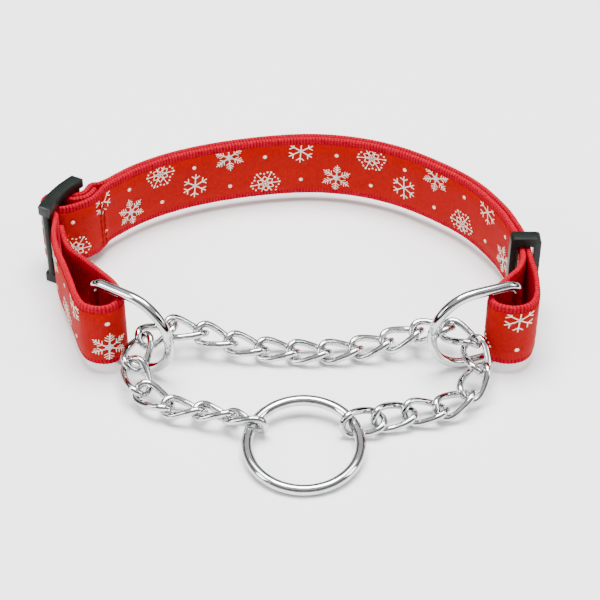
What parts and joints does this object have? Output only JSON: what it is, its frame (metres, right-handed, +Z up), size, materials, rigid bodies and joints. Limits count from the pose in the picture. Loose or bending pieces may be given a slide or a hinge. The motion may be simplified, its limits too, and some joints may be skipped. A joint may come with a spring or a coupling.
{
  "type": "martingale dog collar",
  "caption": "Martingale dog collar: printed ribbon on webbing, three-bar slider, keeper loop, D-rings and a twisted-link chain with a leash ring.",
  "frame": {"origin": "under the middle of the collar's box, on the floor that it stands on", "axes": "+X to the wearer-side right end with the keeper, +Y to the back of the neck, +Z up across the webbing's width"},
  "size_m": [0.1724, 0.157, 0.0326],
  "materials": {
    "webbing": "coarse woven, matt with a slight sheen",
    "ribbon": "satin ribbon with a white snowflake print",
    "thread": "polyester sewing thread",
    "plastic": "moulded, semi-matt",
    "steel": "polished chrome plate on steel"
  },
  "bodies": {
    "strap": {"webbing_strap": "webbing", "printed_ribbon": "ribbon", "slider_end_stitching": "thread", "d_ring_end_stitching": "thread"},
    "slider": {"slider": "plastic"},
    "keeper_loop": {"keeper_loop": "plastic"},
    "d_ring_left": {"d_ring_left": "steel"},
    "d_ring_right": {"d_ring_right": "steel"},
    "chain_left_turn": {"chain_link_04": "steel", "chain_link_05": "steel", "chain_link_06": "steel", "chain_link_07": "steel", "chain_link_08": "steel"},
    "chain_right_turn": {"chain_link_16": "steel", "chain_link_17": "steel", "chain_link_18": "steel"},
    "leash_ring": {"leash_ring": "steel"},
    "link_03": {"chain_link_03": "steel"},
    "link_02": {"chain_link_02": "steel"},
    "link_01": {"chain_link_01": "steel"},
    "link_09": {"chain_link_09": "steel"},
    "link_10": {"chain_link_10": "steel"},
    "link_11": {"chain_link_11": "steel"},
    "link_12": {"chain_link_12": "steel"},
    "link_13": {"chain_link_13": "steel"},
    "link_14": {"chain_link_14": "steel"},
    "link_15": {"chain_link_15": "steel"},
    "link_19": {"chain_link_19": "steel"},
    "link_20": {"chain_link_20": "steel"},
    "link_21": {"chain_link_21": "steel"},
    "link_22": {"chain_link_22": "steel"},
    "link_23": {"chain_link_23": "steel"}
  },
  "joints": [
    {"name": "slider_tilt", "type": "hinge", "parent": "strap", "child": "slider", "pos_m": [-0.07942, 0.0364, 0.0163], "axis": [0, 0, 1], "range_deg": [-2, 2]},
    {"name": "keeper_slide", "type": "slide", "parent": "strap", "child": "keeper_loop", "axis": [0, 1, 0], "range_m": [-0.003, 0.003]},
    {"name": "d_ring_left_swing", "type": "hinge", "parent": "strap", "child": "d_ring_left", "pos_m": [-0.0631, -0.0103, 0.0163], "axis": [0, 0, 1], "range_deg": [-6, 12]},
    {"name": "d_ring_right_swing", "type": "hinge", "parent": "strap", "child": "d_ring_right", "pos_m": [0.0764, -0.0118, 0.0163], "axis": [0, 0, 1], "range_deg": [-6, 14]},
    {"name": "chain_lift", "type": "slide", "parent": "strap", "child": "chain_left_turn", "axis": [0, 0, 1], "range_m": [0, 0.003]},
    {"name": "leash_ring_lift", "type": "hinge", "parent": "chain_left_turn", "child": "leash_ring", "pos_m": [0.00616, -0.0505, 0.005], "axis": [-1, 0.0097, 0], "range_deg": [0, 10]},
    {"name": "link_03_turn", "type": "hinge", "parent": "chain_left_turn", "child": "link_03", "pos_m": [-0.03785, -0.0417, 0.004], "axis": [0, 0, 1], "range_deg": [-3.48, 1.39]},
    {"name": "link_02_turn", "type": "hinge", "parent": "link_03", "child": "link_02", "pos_m": [-0.02748, -0.0439, 0.0042], "axis": [0, 0, 1], "range_deg": [-3.41, 8.49]},
    {"name": "link_01_turn", "type": "hinge", "parent": "link_02", "child": "link_01", "pos_m": [-0.0173, -0.04682, 0.0046], "axis": [0, 0, 1], "range_deg": [-6.57, 2.64]},
    {"name": "link_09_turn", "type": "hinge", "parent": "chain_left_turn", "child": "link_09", "pos_m": [-0.02832, -0.01028, 0.0084], "axis": [0, 0, 1], "range_deg": [-3.2, 3.2]},
    {"name": "link_10_turn", "type": "hinge", "parent": "link_09", "child": "link_10", "pos_m": [-0.01829, -0.01223, 0.0056], "axis": [0, 0, 1], "range_deg": [-9.94, 9.94]},
    {"name": "link_11_turn", "type": "hinge", "parent": "link_10", "child": "link_11", "pos_m": [-0.00792, -0.01351, 0.0038], "axis": [0, 0, 1], "range_deg": [-11.22, 11.22]},
    {"name": "link_12_turn", "type": "hinge", "parent": "link_11", "child": "link_12", "pos_m": [0.00264, -0.01424, 0.0032], "axis": [0, 0, 1], "range_deg": [-4.75, 4.75]},
    {"name": "link_13_turn", "type": "hinge", "parent": "link_12", "child": "link_13", "pos_m": [0.01324, -0.01443, 0.0032], "axis": [0, 0, 1], "range_deg": [-4.16, 4.16]},
    {"name": "link_14_turn", "type": "hinge", "parent": "link_13", "child": "link_14", "pos_m": [0.02378, -0.01351, 0.0038], "axis": [0, 0, 1], "range_deg": [-11.41, 11.41]},
    {"name": "link_15_turn", "type": "hinge", "parent": "link_14", "child": "link_15", "pos_m": [0.0341, -0.01187, 0.0056], "axis": [0, 0, 1], "range_deg": [-10.32, 10.32]},
    {"name": "chain_right_turn_level", "type": "hinge", "parent": "link_15", "child": "chain_right_turn", "pos_m": [0.04413, -0.00992, 0.0084], "axis": [0, 0, 1], "range_deg": [-3.32, 3.32]},
    {"name": "link_19_turn", "type": "hinge", "parent": "chain_right_turn", "child": "link_19", "pos_m": [0.06388, -0.02857, 0.0086], "axis": [0, 0, 1], "range_deg": [-2.51, 2.51]},
    {"name": "link_20_turn", "type": "hinge", "parent": "link_19", "child": "link_20", "pos_m": [0.05942, -0.03771, 0.0056], "axis": [0, 0, 1], "range_deg": [-6.53, 6.53]},
    {"name": "link_21_turn", "type": "hinge", "parent": "link_20", "child": "link_21", "pos_m": [0.05053, -0.04326, 0.004], "axis": [0, 0, 1], "range_deg": [-7.11, 7.11]},
    {"name": "link_22_turn", "type": "hinge", "parent": "link_21", "child": "link_22", "pos_m": [0.04004, -0.04474, 0.0042], "axis": [0, 0, 1], "range_deg": [-6.96, 6.96]},
    {"name": "link_23_turn", "type": "hinge", "parent": "link_22", "child": "link_23", "pos_m": [0.03009, -0.04836, 0.0046], "axis": [0, 0, 1], "range_deg": [-6.84, 6.84]}
  ],
  "couplings": [
    {"joint": "link_02_turn", "follows": "link_03_turn", "ratio": -2.4388},
    {"joint": "link_01_turn", "follows": "link_03_turn", "ratio": 1.8849},
    {"joint": "link_10_turn", "follows": "link_09_turn", "ratio": -3.0991},
    {"joint": "link_11_turn", "follows": "link_09_turn", "ratio": 3.5},
    {"joint": "link_12_turn", "follows": "link_09_turn", "ratio": -1.4783},
    {"joint": "link_13_turn", "follows": "link_09_turn", "ratio": -1.2946},
    {"joint": "link_14_turn", "follows": "link_09_turn", "ratio": 3.5593},
    {"joint": "link_15_turn", "follows": "link_09_turn", "ratio": -3.2178},
    {"joint": "chain_right_turn_level", "follows": "link_09_turn", "ratio": 1.0306},
    {"joint": "link_20_turn", "follows": "link_19_turn", "ratio": -2.5945},
    {"joint": "link_21_turn", "follows": "link_19_turn", "ratio": 2.8263},
    {"joint": "link_22_turn", "follows": "link_19_turn", "ratio": -2.7652},
    {"joint": "link_23_turn", "follows": "link_19_turn", "ratio": 2.7165}
  ]
}
